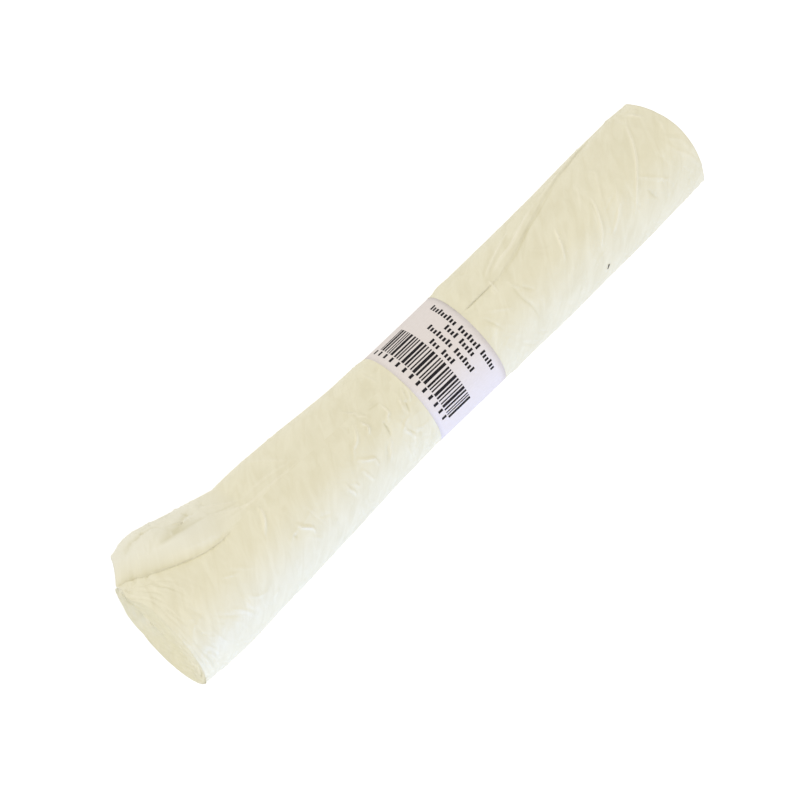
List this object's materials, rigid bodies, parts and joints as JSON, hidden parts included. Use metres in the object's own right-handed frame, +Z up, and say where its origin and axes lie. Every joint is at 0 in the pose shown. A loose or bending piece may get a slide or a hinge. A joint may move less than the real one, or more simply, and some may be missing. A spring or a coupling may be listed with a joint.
{
  "type": "bin bag roll",
  "caption": "Loose roll of thin white bin bags wound without a core, held by a printed paper band and lying on its side.",
  "frame": {"origin": "on the flat underside of the paper band, below the roll's axis and halfway along the roll", "axes": "+X along the roll from the loose, flared end to the firm end; +Z up; +Y towards the side of the puffed hood"},
  "size_m": [0.2908, 0.0639, 0.0513],
  "materials": {
    "film": "satin",
    "paper": "matte"
  },
  "bodies": {
    "root": {"bag_roll": "film", "paper_band": "paper"}
  },
  "joints": []
}
